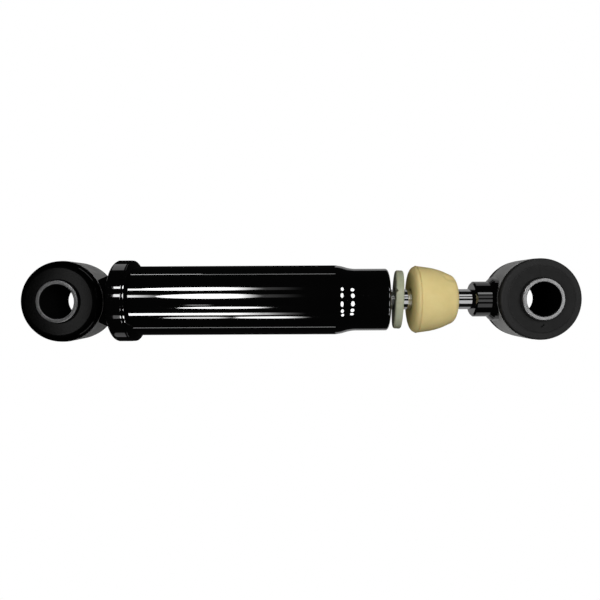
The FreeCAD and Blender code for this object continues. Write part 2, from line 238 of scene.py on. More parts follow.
def combine(piece, tool, operation):
    """Cuts the tool out of the piece or joins it on, and throws the tool away."""
    select_only(piece)
    change = piece.modifiers.new("combine", "BOOLEAN")
    change.object = tool
    change.operation = operation
    change.solver = "EXACT"
    bpy.ops.object.modifier_apply(modifier=change.name)
    select_only(tool)
    bpy.ops.object.delete()
    select_only(piece)


def saddle(piece, eye_x):
    """Cuts a piece so that it sits on an eye's ring."""
    leave_nothing_selected()
    bpy.ops.mesh.primitive_cylinder_add(
        vertices=192, radius=(ring_r + contact_gap) * MM, depth=saddle_depth * MM)
    tool = name_piece("saddle")
    shift(tool, eye_x)
    combine(piece, tool, "DIFFERENCE")


def copy_piece(piece, name, along_x):
    """The same piece again for the rod eye, with a mesh of its own."""
    select_only(piece)
    bpy.ops.object.duplicate(linked=False)
    twin = name_piece(name)
    shift(twin, along_x)
    return twin


def smooth(piece, angle=32, even=True):
    """Shades a piece smooth up to an angle in degrees, and keeps its flats even."""
    select_only(piece)
    bpy.ops.object.shade_smooth_by_angle(angle=math.radians(angle))
    if even:
        flats = piece.modifiers.new("flats", "WEIGHTED_NORMAL")
        flats.keep_sharp = True
        flats.weight = 80
        bpy.ops.object.modifier_apply(modifier=flats.name)


def fit(piece, body, slot, finish, *nodes):
    """Puts the finish on, hangs the piece on the body that carries it, and hides the nodes it
    stands for.
    """
    piece.data.materials.clear()
    piece.data.materials.append(finish)
    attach(piece, body)
    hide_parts(*nodes)


# Finishes


def new_effect(name, inputs, outputs):
    """A shader node group with its sockets, and its input and output nodes."""
    effect = bpy.data.node_groups.new(name, "ShaderNodeTree")
    for label, kind, value in inputs:
        socket = effect.interface.new_socket(label, in_out="INPUT", socket_type=kind)
        if value is not None:
            socket.default_value = value
    for label, kind in outputs:
        effect.interface.new_socket(label, in_out="OUTPUT", socket_type=kind)
    return effect, effect.nodes.new("NodeGroupInput"), effect.nodes.new("NodeGroupOutput")


def add_node(tree, kind, settings=None, **inputs):
    """A node with its settings and plain input values."""
    node = tree.nodes.new(kind)
    for key, value in (settings or {}).items():
        setattr(node, key, value)
    for label, value in inputs.items():
        node.inputs[label.replace("_", " ")].default_value = value
    return node


def mottle_effect():
    """Cloudy change from one colour to another."""
    effect, given, result = new_effect(
        "mottle",
        [("Vector", "NodeSocketVector", None), ("Scale", "NodeSocketFloat", 100.0),
         ("Contrast", "NodeSocketFloat", 1.0), ("First", "NodeSocketColor", None),
         ("Second", "NodeSocketColor", None)],
        [("Color", "NodeSocketColor"), ("Mask", "NodeSocketFloat")])
    cloud = add_node(effect, "ShaderNodeTexNoise", Detail=6.0, Roughness=0.6)
    spread = add_node(effect, "ShaderNodeMath", {"operation": "MULTIPLY_ADD"})
    centre = add_node(effect, "ShaderNodeMath", {"operation": "SUBTRACT"})
    centre.inputs[1].default_value = 0.5
    spread.inputs[2].default_value = 0.5
    spread.use_clamp = True
    blend = add_node(effect, "ShaderNodeMix", {"data_type": "RGBA"})
    link = effect.links.new
    link(given.outputs["Vector"], cloud.inputs["Vector"])
    link(given.outputs["Scale"], cloud.inputs["Scale"])
    link(cloud.outputs["Fac"], centre.inputs[0])
    link(centre.outputs[0], spread.inputs[0])
    link(given.outputs["Contrast"], spread.inputs[1])
    link(spread.outputs[0], blend.inputs["Factor"])
    link(given.outputs["First"], blend.inputs[6])
    link(given.outputs["Second"], blend.inputs[7])
    link(blend.outputs[2], result.inputs["Color"])
    link(spread.outputs[0], result.inputs["Mask"])
    return effect


def grain_effect():
    """Fine and coarse unevenness of a surface, as a height."""
    effect, given, result = new_effect(
        "grain",
        [("Vector", "NodeSocketVector", None), ("Fine Scale", "NodeSocketFloat", 2500.0),
         ("Coarse Scale", "NodeSocketFloat", 300.0), ("Coarse Share", "NodeSocketFloat", 0.5)],
        [("Height", "NodeSocketFloat")])
    fine = add_node(effect, "ShaderNodeTexNoise", Detail=2.0, Roughness=0.5)
    coarse = add_node(effect, "ShaderNodeTexNoise", Detail=2.0, Roughness=0.5)
    blend = add_node(effect, "ShaderNodeMix", {"data_type": "FLOAT"})
    link = effect.links.new
    for texture, scale in ((fine, "Fine Scale"), (coarse, "Coarse Scale")):
        link(given.outputs["Vector"], texture.inputs["Vector"])
        link(given.outputs[scale], texture.inputs["Scale"])
    link(given.outputs["Coarse Share"], blend.inputs["Factor"])
    link(fine.outputs["Fac"], blend.inputs[2])
    link(coarse.outputs["Fac"], blend.inputs[3])
    link(blend.outputs[0], result.inputs["Height"])
    return effect


def specks_effect():
    """Small scattered spots, as a mask from 0 to 1."""
    effect, given, result = new_effect(
        "specks",
        [("Vector", "NodeSocketVector", None), ("Scale", "NodeSocketFloat", 900.0),
         ("Size", "NodeSocketFloat", 0.12)],
        [("Mask", "NodeSocketFloat")])
    cells = add_node(effect, "ShaderNodeTexVoronoi", {"feature": "F1"})
    fade = add_node(effect, "ShaderNodeMapRange", {"interpolation_type": "SMOOTHSTEP"})
    fade.inputs["From Min"].default_value = 0.0
    fade.inputs["To Min"].default_value = 1.0
    fade.inputs["To Max"].default_value = 0.0
    link = effect.links.new
    link(given.outputs["Vector"], cells.inputs["Vector"])
    link(given.outputs["Scale"], cells.inputs["Scale"])
    link(cells.outputs["Distance"], fade.inputs["Value"])
    link(given.outputs["Size"], fade.inputs["From Max"])
    link(fade.outputs["Result"], result.inputs["Mask"])
    return effect


def turning_effect():
    """Rings left by a lathe tool round the pattern's Z axis, as a height."""
    effect, given, result = new_effect(
        "turning",
        [("Vector", "NodeSocketVector", None), ("Pitch Scale", "NodeSocketFloat", 6000.0)],
        [("Height", "NodeSocketFloat")])
    parts = add_node(effect, "ShaderNodeSeparateXYZ")
    flat = add_node(effect, "ShaderNodeCombineXYZ")
    out = add_node(effect, "ShaderNodeVectorMath", {"operation": "LENGTH"})
    place = add_node(effect, "ShaderNodeMath", {"operation": "MULTIPLY"})
    lines = add_node(
        effect, "ShaderNodeTexNoise", {"noise_dimensions": "1D"}, Detail=3.0, Scale=1.0)
    link = effect.links.new
    link(given.outputs["Vector"], parts.inputs["Vector"])
    link(parts.outputs["X"], flat.inputs["X"])
    link(parts.outputs["Y"], flat.inputs["Y"])
    link(flat.outputs["Vector"], out.inputs[0])
    link(out.outputs["Value"], place.inputs[0])
    link(given.outputs["Pitch Scale"], place.inputs[1])
    link(place.outputs[0], lines.inputs["W"])
    link(lines.outputs["Fac"], result.inputs["Height"])
    return effect


def rim_effect():
    """How far out a place lies between two radii round the pattern's Z axis, from 0 to 1."""
    effect, given, result = new_effect(
        "rim",
        [("Vector", "NodeSocketVector", None), ("Inner", "NodeSocketFloat", 0.01),
         ("Outer", "NodeSocketFloat", 0.02)],
        [("Mask", "NodeSocketFloat")])
    flat = add_node(effect, "ShaderNodeVectorMath", {"operation": "MULTIPLY"})
    flat.inputs[1].default_value = (1.0, 1.0, 0.0)
    out = add_node(effect, "ShaderNodeVectorMath", {"operation": "LENGTH"})
    fade = add_node(effect, "ShaderNodeMapRange", {"interpolation_type": "SMOOTHSTEP"})
    link = effect.links.new
    link(given.outputs["Vector"], flat.inputs[0])
    link(flat.outputs["Vector"], out.inputs[0])
    link(out.outputs["Value"], fade.inputs["Value"])
    link(given.outputs["Inner"], fade.inputs["From Min"])
    link(given.outputs["Outer"], fade.inputs["From Max"])
    link(fade.outputs["Result"], result.inputs["Mask"])
    return effect


mottle = mottle_effect()
grain = grain_effect()
rim = rim_effect()
specks = specks_effect()
turning = turning_effect()


class Finish:
    """A material with its shader, its pattern place and a chain of bumps."""

    def __init__(self, name, centre=(0, 0, 0), turn=(0, 0, 0), stretch=(1, 1, 1)):
        self.material = bpy.data.materials.new(name)
        self.material.use_nodes = True
        self.tree = self.material.node_tree
        self.shader = self.tree.nodes["Principled BSDF"]
        self.bump = None
        self.place = self.pattern(centre, turn, stretch)

    def pattern(self, centre=(0, 0, 0), turn=(0, 0, 0), stretch=(1, 1, 1)):
        spot = self.tree.nodes.new("ShaderNodeTexCoord")
        mapping = add_node(self.tree, "ShaderNodeMapping", {"vector_type": "TEXTURE"})
        mapping.inputs["Location"].default_value = [value * MM for value in centre]
        mapping.inputs["Rotation"].default_value = [math.radians(value) for value in turn]
        mapping.inputs["Scale"].default_value = stretch
        self.tree.links.new(spot.outputs["Object"], mapping.inputs["Vector"])
        return mapping.outputs["Vector"]

    def plain(self, **values):
        """Sets what is the same all over on the shader's own sockets."""
        for label, value in values.items():
            self.shader.inputs[label.replace("_", " ")].default_value = value

    def effect(self, group, place=None, **values):
        node = self.tree.nodes.new("ShaderNodeGroup")
        node.node_tree = group
        for label, value in values.items():
            node.inputs[label.replace("_", " ")].default_value = value
        self.tree.links.new(place or self.place, node.inputs["Vector"])
        return node

    def colour(self, output):
        self.tree.links.new(output, self.shader.inputs["Base Color"])

    def colour_between(self, mask, first, second):
        """Colours the surface first where the mask is 0 and second where it is 1."""
        blend = add_node(self.tree, "ShaderNodeMix", {"data_type": "RGBA"})
        self.tree.links.new(mask, blend.inputs["Factor"])
        for value, socket in ((first, blend.inputs[6]), (second, blend.inputs[7])):
            if isinstance(value, tuple):
                socket.default_value = value
            else:
                self.tree.links.new(value, socket)
        self.colour(blend.outputs[2])

    def vary(self, mask, socket, low, high):
        """Lets a mask carry a shader value from low to high."""
        span = add_node(self.tree, "ShaderNodeMapRange", {}, To_Min=low, To_Max=high)
        self.tree.links.new(mask, span.inputs["Value"])
        self.tree.links.new(span.outputs["Result"], self.shader.inputs[socket])

    def raise_by(self, height, depth_mm):
        """Adds a bump of this depth to those before it."""
        bump = add_node(self.tree, "ShaderNodeBump", {}, Strength=1.0, Distance=depth_mm * MM)
        self.tree.links.new(height, bump.inputs["Height"])
        if self.bump:
            self.tree.links.new(self.bump.outputs["Normal"], bump.inputs["Normal"])
        self.tree.links.new(bump.outputs["Normal"], self.shader.inputs["Normal"])
        self.bump = bump


def shade(level, tint=(1, 1, 1)):
    return (level * tint[0], level * tint[1], level * tint[2], 1.0)


def gloss_paint():
    """Thick black enamel: nearly mirror-like, with the slow waves of the drawn tube under it."""
    finish = Finish("gloss_black_enamel")
    tone = finish.effect(
        mottle, Scale=60.0, Contrast=1.2, First=shade(0.0006), Second=shade(0.0014))
    finish.colour(tone.outputs["Color"])
    dust = finish.effect(specks, Scale=130.0, Size=0.03)
    finish.vary(dust.outputs["Mask"], "Roughness", 0.045, 0.2)
    waves = finish.effect(
        grain, finish.pattern(stretch=(7.0, 1.0, 1.0)),
        Fine_Scale=160.0, Coarse_Scale=60.0, Coarse_Share=0.8)
    finish.raise_by(waves.outputs["Height"], 0.02)
    peel = finish.effect(grain, Fine_Scale=1500.0, Coarse_Scale=500.0, Coarse_Share=0.5)
    finish.raise_by(peel.outputs["Height"], 0.0003)
    finish.plain(IOR=1.6, Coat_Weight=1.0, Coat_Roughness=0.03, Coat_IOR=1.6)
    return finish.material


def cap_paint():
    """The same enamel over forged and welded steel, a little fuller in its waves."""
    finish = Finish("forging_black_enamel")
    tone = finish.effect(
        mottle, Scale=90.0, Contrast=1.2, First=shade(0.0006), Second=shade(0.0016))
    finish.colour(tone.outputs["Color"])
    finish.vary(tone.outputs["Mask"], "Roughness", 0.02, 0.04)
    peel = finish.effect(grain, Fine_Scale=900.0, Coarse_Scale=260.0, Coarse_Share=0.6)
    finish.raise_by(peel.outputs["Height"], 0.0008)
    finish.plain(IOR=1.6, Coat_Weight=0.8, Coat_Roughness=0.015, Coat_IOR=1.6)
    return finish.material


def ring_paint(name, first, second):
    """Thin dull paint on a rolled eye ring, speckled and greyed."""
    finish = Finish(name)
    tone = finish.effect(
        mottle, Scale=170.0, Contrast=1.6, First=shade(first), Second=shade(second, (1, 1, 0.98)))
    finish.colour(tone.outputs["Color"])
    finish.vary(tone.outputs["Mask"], "Roughness", 0.48, 0.66)
    skin = finish.effect(grain, Fine_Scale=1800.0, Coarse_Scale=420.0, Coarse_Share=0.4)
    finish.raise_by(skin.outputs["Height"], 0.05)
    finish.plain(IOR=1.5)
    return finish.material


def bush_rubber(name, eye_x, first, second, edge_r, edge_painted_shade_and_light, face_roughness, edge_roughness):
    """Moulded rubber, with its own gloss where its edge is rolled, and there the given edge colour
    as painted light and shade on the rolled edge.
    """
    finish = Finish(name, centre=(eye_x, 0, 0))
    tone = finish.effect(
        mottle, Scale=110.0, Contrast=1.3, First=shade(first), Second=shade(second))
    edge = finish.effect(rim, Inner=edge_r * MM, Outer=(edge_r + 1.0) * MM)
    # The rolled edge gets its own colour: darker than the face on the base bush as painted shade,
    # and lighter on the rod bush as painted light.
    finish.colour_between(edge.outputs["Mask"], tone.outputs["Color"], shade(edge_painted_shade_and_light))
    finish.vary(edge.outputs["Mask"], "Roughness", face_roughness, edge_roughness)
    skin = finish.effect(grain, Fine_Scale=2600.0, Coarse_Scale=500.0, Coarse_Share=0.35)
    finish.raise_by(skin.outputs["Height"], 0.012)
    finish.plain(IOR=1.5, Specular_IOR_Level=0.2)
    return finish.material


def sleeve_steel(name, eye_x, first, second):
    """Turned steel sleeve, with fine tool rings on its end faces, and its bore painted near black,
    dull and not metallic as painted shade in the hole.
    """
    finish = Finish(name, centre=(eye_x, 0, 0))
    tone = finish.effect(
        mottle, Scale=240.0, Contrast=1.4, First=shade(first), Second=shade(second, (1, 1, 1.01)))
    # Inside the bore radius the wall is painted near black, rough and not metallic: painted shade
    # in the hole.
    wall = finish.effect(rim, Inner=(bore_r + 0.05) * MM, Outer=(bore_r + 0.5) * MM)
    finish.colour_between(wall.outputs["Mask"], shade(0.004), tone.outputs["Color"])
    finish.vary(wall.outputs["Mask"], "Metallic", 0.0, 1.0)
    finish.vary(wall.outputs["Mask"], "Roughness", 0.9, 0.42)
    rings = finish.effect(turning, Pitch_Scale=9000.0)
    finish.raise_by(rings.outputs["Height"], 0.012)
    finish.plain(Specular_IOR_Level=0.0)
    return finish.material


def rod_chrome():
    """Hard chrome, ground and polished."""
    finish = Finish("hard_chrome", turn=(0, 90, 0))
    tone = finish.effect(
        mottle, Scale=300.0, Contrast=1.0, First=shade(0.56, (1, 1, 1.02)), Second=shade(0.66))
    finish.colour(tone.outputs["Color"])
    finish.vary(tone.outputs["Mask"], "Roughness", 0.05, 0.08)
    polish = finish.effect(grain, Fine_Scale=4000.0, Coarse_Scale=900.0, Coarse_Share=0.3)
    finish.raise_by(polish.outputs["Height"], 0.0001)
    finish.plain(Metallic=1.0)
    return finish.material


def bump_foam():
    """Cream polyurethane foam with a moulded skin, a little amber in its clouds."""
    finish = Finish("cream_foam_skin")
    tone = finish.effect(
        mottle, Scale=95.0, Contrast=1.5,
        First=(0.70, 0.565, 0.235, 1), Second=(0.79, 0.655, 0.3, 1))
    finish.colour(tone.outputs["Color"])
    finish.vary(tone.outputs["Mask"], "Roughness", 0.42, 0.58)
    skin = finish.effect(grain, Fine_Scale=1600.0, Coarse_Scale=220.0, Coarse_Share=0.5)
    finish.raise_by(skin.outputs["Height"], 0.05)
    finish.plain(IOR=1.45, Subsurface_Weight=0.15, Subsurface_Scale=0.002)
    return finish.material


def washer_plastic():
    """Grey-green nylon, streaked along the axis."""
    finish = Finish("grey_green_nylon")
    tone = finish.effect(
        mottle, finish.pattern(stretch=(3.0, 1.0, 1.0)), Scale=200.0, Contrast=1.6,
        First=(0.32, 0.335, 0.215, 1), Second=(0.46, 0.475, 0.34, 1))
    finish.colour(tone.outputs["Color"])
    finish.vary(tone.outputs["Mask"], "Roughness", 0.42, 0.56)
    skin = finish.effect(grain, Fine_Scale=2200.0, Coarse_Scale=400.0, Coarse_Share=0.5)
    finish.raise_by(skin.outputs["Height"], 0.015)
    finish.plain(IOR=1.5, Subsurface_Weight=0.08, Subsurface_Scale=0.001)
    return finish.material


def inner_finish(name, first, second, metallic, least_rough, most_rough, depth):
    """Finish of a piece that the tube hides."""
    finish = Finish(name)
    tone = finish.effect(mottle, Scale=220.0, Contrast=1.4, First=first, Second=second)
    finish.colour(tone.outputs["Color"])
    finish.vary(tone.outputs["Mask"], "Roughness", least_rough, most_rough)
    skin = finish.effect(grain, Fine_Scale=2400.0, Coarse_Scale=600.0, Coarse_Share=0.4)
    finish.raise_by(skin.outputs["Height"], depth)
    finish.plain(Metallic=metallic)
    return finish.material


tube_enamel = gloss_paint()
forging_enamel = cap_paint()
# Both eye rings have one paint: the rod eye's copy is lighter as painted light on its side, and
# the base eye's is darker as painted shade.
shaded_base_ring_enamel = ring_paint("base_ring_paint_shaded", 0.03, 0.054)
lit_rod_ring_enamel = ring_paint("rod_ring_paint_lit", 0.045, 0.078)
# Both bushes are one rubber: the base bush's copy is painted far darker as painted shade, and the
# rod bush's far lighter as painted light.
shaded_base_rubber = bush_rubber("base_bush_rubber_shaded", 0, 0.0008, 0.0014, 20.6, 0.0006, 0.17, 0.12)
lit_rod_rubber = bush_rubber(
    "rod_bush_rubber_lit", rod_eye_x, 0.0165, 0.0235, rod_step_r, 0.024, 0.68, 0.6)
# Both sleeves are one steel: the rod sleeve's copy is painted lighter as painted light, and the
# base sleeve's darker as painted shade.
shaded_base_sleeve_steel = sleeve_steel("shaded_base_sleeve_steel", 0, 0.15, 0.21)
lit_rod_sleeve_steel = sleeve_steel("lit_rod_sleeve_steel", rod_eye_x, 0.24, 0.32)
chrome = rod_chrome()
foam = bump_foam()
nylon = washer_plastic()


# Eyes


def model_eye_ring():
    ring = turned("eye_ring_base", [
        (ring_inner_r, -ring_half),
        (ring_r, -ring_half, ring_edge),
        (ring_r, ring_half, ring_edge),
        (ring_inner_r, ring_half),
    ], ALONG_Z)
    smooth(ring)
    return ring


def model_eye_bush(name, *rim):
    """Rubber bush with a groove round its sleeve and this rim on each flange."""
    seat = ring_half + contact_gap
    inner = sleeve_r + 0.05
    upper = [
        (inner, flange_face - 0.4),
        (inner + 0.4, flange_face, 0.15),
        *rim,
        (flange_r, seat, 0.6),
        (ring_inner_r - contact_gap, seat),
    ]
    lower = [(corner[0], -corner[1], *corner[2:]) for corner in reversed(upper)]
    return turned(name, upper + lower, ALONG_Z)


def model_eye_sleeve():
    sleeve = turned("eye_sleeve_base", [
        (bore_r, -sleeve_half, sleeve_edge),
        (sleeve_r, -sleeve_half, sleeve_edge),
        (sleeve_r, sleeve_half, sleeve_edge),
        (bore_r, sleeve_half, sleeve_edge),
    ], ALONG_Z, arc=4)
    smooth(sleeve)
    return sleeve


def block(name, size, place, turn=0):
    """A block to shape, cut with or join on, turned about Z by degrees."""
    leave_nothing_selected()
    bpy.ops.mesh.primitive_cube_add(size=1.0)
    tool = name_piece(name)
    tool.scale = Vector(size) * MM
    tool.rotation_euler = (0, 0, math.radians(turn))
    tool.location = Vector(place) * MM
    bpy.ops.object.transform_apply(location=True, rotation=True, scale=True)
    return tool


base_ring = model_eye_ring()
rod_ring = copy_piece(base_ring, "eye_ring_rod", rod_eye_x)
base_sleeve = model_eye_sleeve()
rod_sleeve = copy_piece(base_sleeve, "eye_sleeve_rod", rod_eye_x)
base_bush = model_eye_bush("eye_bush_base", (flange_r, flange_face, base_rim_round))
rod_bush = model_eye_bush(
    "eye_bush_rod",
    (rod_shoulder_r, flange_face, 0.4),
    (rod_step_r, flange_face - 0.45, 0.4),
    (flange_r, flange_face - 0.7, rod_rim_round))
shift(rod_bush, rod_eye_x)
nick = block("nick", (2.6, 0.9, 2.0), (rod_eye_x + 0.3, -15.6, flange_face), 40)
combine(rod_bush, nick, "DIFFERENCE")
mould_line = block("mould_line", (0.35, 5.0, 0.24), (rod_eye_x - 1.2, 16.6, flange_face), 2)
combine(rod_bush, mould_line, "UNION")
smooth(base_bush)
smooth(rod_bush)
fit(base_ring, "cylinder", "black_paint", shaded_base_ring_enamel, "base_eye_ring")
fit(rod_ring, "rod", "black_paint", lit_rod_ring_enamel, "rod_eye_ring")
fit(base_sleeve, "base_sleeve", "sleeve_steel", shaded_base_sleeve_steel, "base_eye_sleeve")
fit(rod_sleeve, "rod_sleeve", "sleeve_steel", lit_rod_sleeve_steel, "rod_eye_sleeve")
fit(base_bush, "cylinder", "bush_rubber", shaded_base_rubber, "base_eye_bush")
fit(rod_bush, "rod", "bush_rubber", lit_rod_rubber, "rod_eye_bush")

# The base bush is so glossy that its sleeve would mirror in it as a dark ring
base_sleeve.visible_glossy = False
base_sleeve.visible_shadow = False


# Cylinder


def model_boss():
    """Flat-sided boss, wider at the collar, with rounded edges and a saddle for the ring."""
    size = (boss_x1 - boss_x0, 2 * boss_half_width, 2 * (ring_half - contact_gap))
    boss = block("boss", size, ((boss_x0 + boss_x1) / 2, 0, 0))
    edit(boss)
    pick_points(boss, lambda spot: spot.x > boss_x1 - 1)
    bpy.ops.transform.resize(value=(1, boss_widening, 1), center_override=(0, 0, 0))
    bpy.ops.mesh.select_all(action="SELECT")
    bpy.ops.mesh.bevel(offset=boss_round * MM, segments=6, affect="EDGES")
    close_and_face_out()
    saddle(boss, 0)
    return boss


def model_base_cap():
    """Collar with its socket and a front edge a little askew, joined to the boss."""
    socket_r = tube_r + contact_gap
    cap = turned("base_cap_forging", [
        (collar_x0, 0),
        (collar_x0, collar_r, collar_front_round),
        (collar_x1, collar_r, collar_back_round),
        (collar_x1, socket_r),
        (socket_floor_x, socket_r),
        (socket_floor_x, 0),
    ], ALONG_X, closed=False)
    edit(cap)
    pick_points(cap, lambda spot: spot.x < collar_x0 + collar_front_round - 0.1)
    bpy.ops.transform.rotate(
        value=math.radians(0.5), orient_axis="Z", center_override=(collar_x0 * MM, 0, 0))
    bpy.ops.transform.translate(value=(0.5 * MM, 0, 0))
    bpy.ops.object.mode_set(mode="OBJECT")
    combine(cap, model_boss(), "UNION")
    smooth(cap)
    return cap


def model_tube():
    """Reservoir tube: full size, swaged down to the neck, with its end rolled over."""
    inner_r = tube_r - tube_wall
    neck_inner_r = neck_r - tube_wall
    lip_r = neck_inner_r - lip_depth
    lip_x = tube_end_x - lip_thick
    tube = turned("reservoir_tube_painted", [
        (socket_floor_x, inner_r),
        (socket_floor_x, tube_r),
        (swage_x0, tube_r, swage_round),
        (swage_x1, neck_r, swage_round),
        (tube_end_x, neck_r, 1.4),
        (tube_end_x, lip_r, 0.5),
        (lip_x, lip_r),
        (lip_x, neck_inner_r),
        (swage_x1, neck_inner_r, swage_round),
        (swage_x0, inner_r, swage_round),
    ], ALONG_X, steps=256, arc=12)
    smooth(tube)
    return tube


def in_sector(spot, middle, half_width):
    """Whether a place lies within an angle of a direction round the damper's axis."""
    turn = math.atan2(spot.z, spot.y) - middle
    return abs(math.remainder(turn, FULL_TURN)) < half_width


def ripple(bead, count, depth, seed):
    """Draws in every third ring of a weld bead, each a little differently."""
    draw = random.Random(seed)
    step = FULL_TURN / count
    edit(bead)
    for i in range(0, count, 3):
        middle = i * step
        pick_points(bead, lambda spot: in_sector(spot, middle, step / 3))
        bpy.ops.transform.shrink_fatten(value=-depth * draw.uniform(0.6, 1.3) * MM)
    bpy.ops.object.mode_set(mode="OBJECT")


def model_tube_weld():
    """Full fillet from the collar's rim down to the tube.

    Its toe is shorter towards +Z and -Z than at the sides, and it thins out towards +Y.
    """
    crown_x = collar_x1 + 1.25
    root_r = tube_r + contact_gap
    sectors = 60
    half_width = FULL_TURN / 130
    bead = turned("tube_weld_bead", [
        (collar_x1, root_r),
        (collar_x1, collar_r - 0.15),
        (collar_x1 + 0.9, collar_r, 4.0),
        (collar_x1 + 2.0, collar_r - 0.27, 0.8),
        (collar_x1 + 4.4, root_r),
    ], ALONG_X, steps=3 * sectors, arc=14)
    draw = random.Random(5)
    edit(bead)
    for i in range(sectors):
        middle = i * FULL_TURN / sectors
        front = max(0, math.sin(middle)) ** 2
        back = max(0, -math.sin(middle)) ** 2
        top = max(0, math.cos(middle)) ** 2
        toe = 1.0 - 0.57 * front - 0.3 * back + draw.uniform(-0.02, 0.02)
        whole = 1.0 - 0.65 * top
        pick_points(bead, lambda spot: spot.x > crown_x and in_sector(spot, middle, half_width))
        bpy.ops.transform.resize(value=(toe, 1, 1), center_override=(crown_x * MM, 0, 0))
        pick_points(bead, lambda spot: in_sector(spot, middle, half_width))
        bpy.ops.transform.resize(value=(whole, 1, 1), center_override=(collar_x1 * MM, 0, 0))
    bpy.ops.object.mode_set(mode="OBJECT")
    smooth(bead, 60, even=False)
    return bead


def model_eye_weld(name, eye_x, outward, core_r, leg, seed):
    """Fillet weld round a shank where it meets the eye ring, rippled and cut to the ring."""
    count = 120
    root_r = core_r + contact_gap
    weld_r = core_r + leg
    saddle_x = eye_x + outward * (math.sqrt(ring_r ** 2 - weld_r ** 2) - 0.5)
    crown_x = eye_x + outward * ring_r
    bead = turned(name, [
        (saddle_x, root_r),
        (saddle_x, weld_r),
        (crown_x, weld_r, leg / 2),
        (crown_x + outward * leg, root_r),
    ], ALONG_X, steps=count, arc=6)
    ripple(bead, count, 0.2, seed)
    edit(bead)
    for side in (1, -1):
        bpy.ops.mesh.select_all(action="SELECT")
        bpy.ops.mesh.bisect(
            plane_co=(0, 0, side * (ring_half - 0.05) * MM), plane_no=(0, 0, side),
            use_fill=True, clear_outer=True)
    close_and_face_out()
    saddle(bead, eye_x)
    smooth(bead, 50, even=False)
    return bead


cap = model_base_cap()
fit(cap, "cylinder", "black_paint", forging_enamel, "base_cap")
tube = model_tube()
fit(tube, "cylinder", "black_paint", tube_enamel, "reservoir_tube")
tube_bead = model_tube_weld()
fit(tube_bead, "cylinder", "black_paint", forging_enamel, "tube_weld")
base_bead = model_eye_weld("base_eye_weld_bead", 0, 1, base_weld_r, base_weld_leg, 11)
fit(base_bead, "cylinder", "black_paint", forging_enamel, "base_eye_weld")


# Rod side


def model_rod():
    """Chromed rod with the spigot and groove that carry the piston inside the tube."""
    tip = rod_low.x
    top = rod_high.x
    groove_r = rod_r - 0.9
    rod = turned("piston_rod_chrome", [
        (tip, 0),
        (tip, spigot_r, 0.6),
        (rod_shoulder_x, spigot_r),
        (rod_shoulder_x, rod_r, 0.2),
        (stop_ring_low.x, rod_r),
        (stop_ring_low.x, groove_r),
        (stop_ring_high.x, groove_r),
        (stop_ring_high.x, rod_r),
        (top, rod_r, 0.7),
        (top, 0),
    ], ALONG_X, closed=False, arc=4)
    smooth(rod)
    return rod


def model_shank():
    """Round shank of the rod eye, bored for the rod and saddled onto the ring."""
    socket_r = rod_r + contact_gap
    socket_end_x = rod_high.x + contact_gap
    shank = turned("rod_eye_shank_turned", [
        (shank_x, socket_r),
        (shank_x, shank_r - shank_chamfer),
        (shank_x + shank_chamfer, shank_r),
        (rod_eye_x, shank_r),
        (rod_eye_x, 0),
        (socket_end_x, 0),
        (socket_end_x, socket_r),
    ], ALONG_X, arc=3)
    saddle(shank, rod_eye_x)
    smooth(shank)
    return shank


def model_washer():
    """Loose moulded washer with a V groove across its face, leaning both ways on the rod."""
    groove_angle = math.radians(18)
    groove_r = 0.8 * washer_r
    middle_x = (washer_low.x + washer_high.x) / 2
    half = washer_thick / 2
    washer = turned("stop_washer_moulded", [
        (-half, washer_bore_r, 0.4),
        (-half, washer_r, 1.2),
        (half, washer_r, 1.2),
        (half, washer_bore_r, 0.4),
    ], ALONG_X)
    leave_nothing_selected()
    bpy.ops.mesh.primitive_cylinder_add(vertices=4, radius=MM, depth=washer_r * MM)
    groove = name_piece("groove")
    groove.scale = (1.4, 1.7, 1.0)
    groove.rotation_euler = (-groove_angle, 0, 0)
    groove.location = (
        -half * MM, groove_r * math.sin(groove_angle) * MM, groove_r * math.cos(groove_angle) * MM)
    bpy.ops.object.transform_apply(location=True, rotation=True, scale=True)
    combine(washer, groove, "DIFFERENCE")
    washer.rotation_mode = "ZYX"
    washer.rotation_euler = (0, math.radians(washer_lean), math.radians(washer_swing))
    washer.location = (middle_x * MM, 0, 0)
    bpy.ops.object.transform_apply(location=True, rotation=True, scale=True)
    smooth(washer)
    return washer


def press(piece, place, reach, move):
    """Presses a soft piece at one place, less and less out to the reach."""
    edit(piece)
    pick_points(piece, lambda spot: (spot - place).length < 0.9)
    bpy.ops.transform.translate(
        value=Vector(move) * MM, use_proportional_edit=True,
        proportional_edit_falloff="SMOOTH", proportional_size=reach * MM)
    bpy.ops.object.mode_set(mode="OBJECT")


def model_bump_stop():
    """Foam bump stop: rounded rim, parting seam, domed belly and blunt nose."""
    face = bump_low.x
    nose = bump_high.x
    seam_x = face + 3.1
    stop = turned("bump_stop_foam", [
        (face + 0.4, bump_bore_r),
        (face, bump_bore_r + 0.4, 0.3),
        (face, bump_rim_r, 3.7),
        (face + 15.3, bump_belly_r, 34.0),
        (nose, bump_nose_r, 5.0),
        (nose, bump_bore_r),
    ], ALONG_X, arc=24)
    edit(stop)
    for ring_x, height in ((seam_x, 0.28), (seam_x + 0.35, -0.35)):
        pick_points(
            stop, lambda spot: abs(spot.x - ring_x) < 0.16 and math.hypot(spot.y, spot.z) > 18)
        bpy.ops.transform.shrink_fatten(value=height * MM)
    bpy.ops.object.mode_set(mode="OBJECT")
    press(stop, bump_dimple, 2.6, (-0.3, -0.8, -0.7))
    smooth(stop, 50)
    return stop


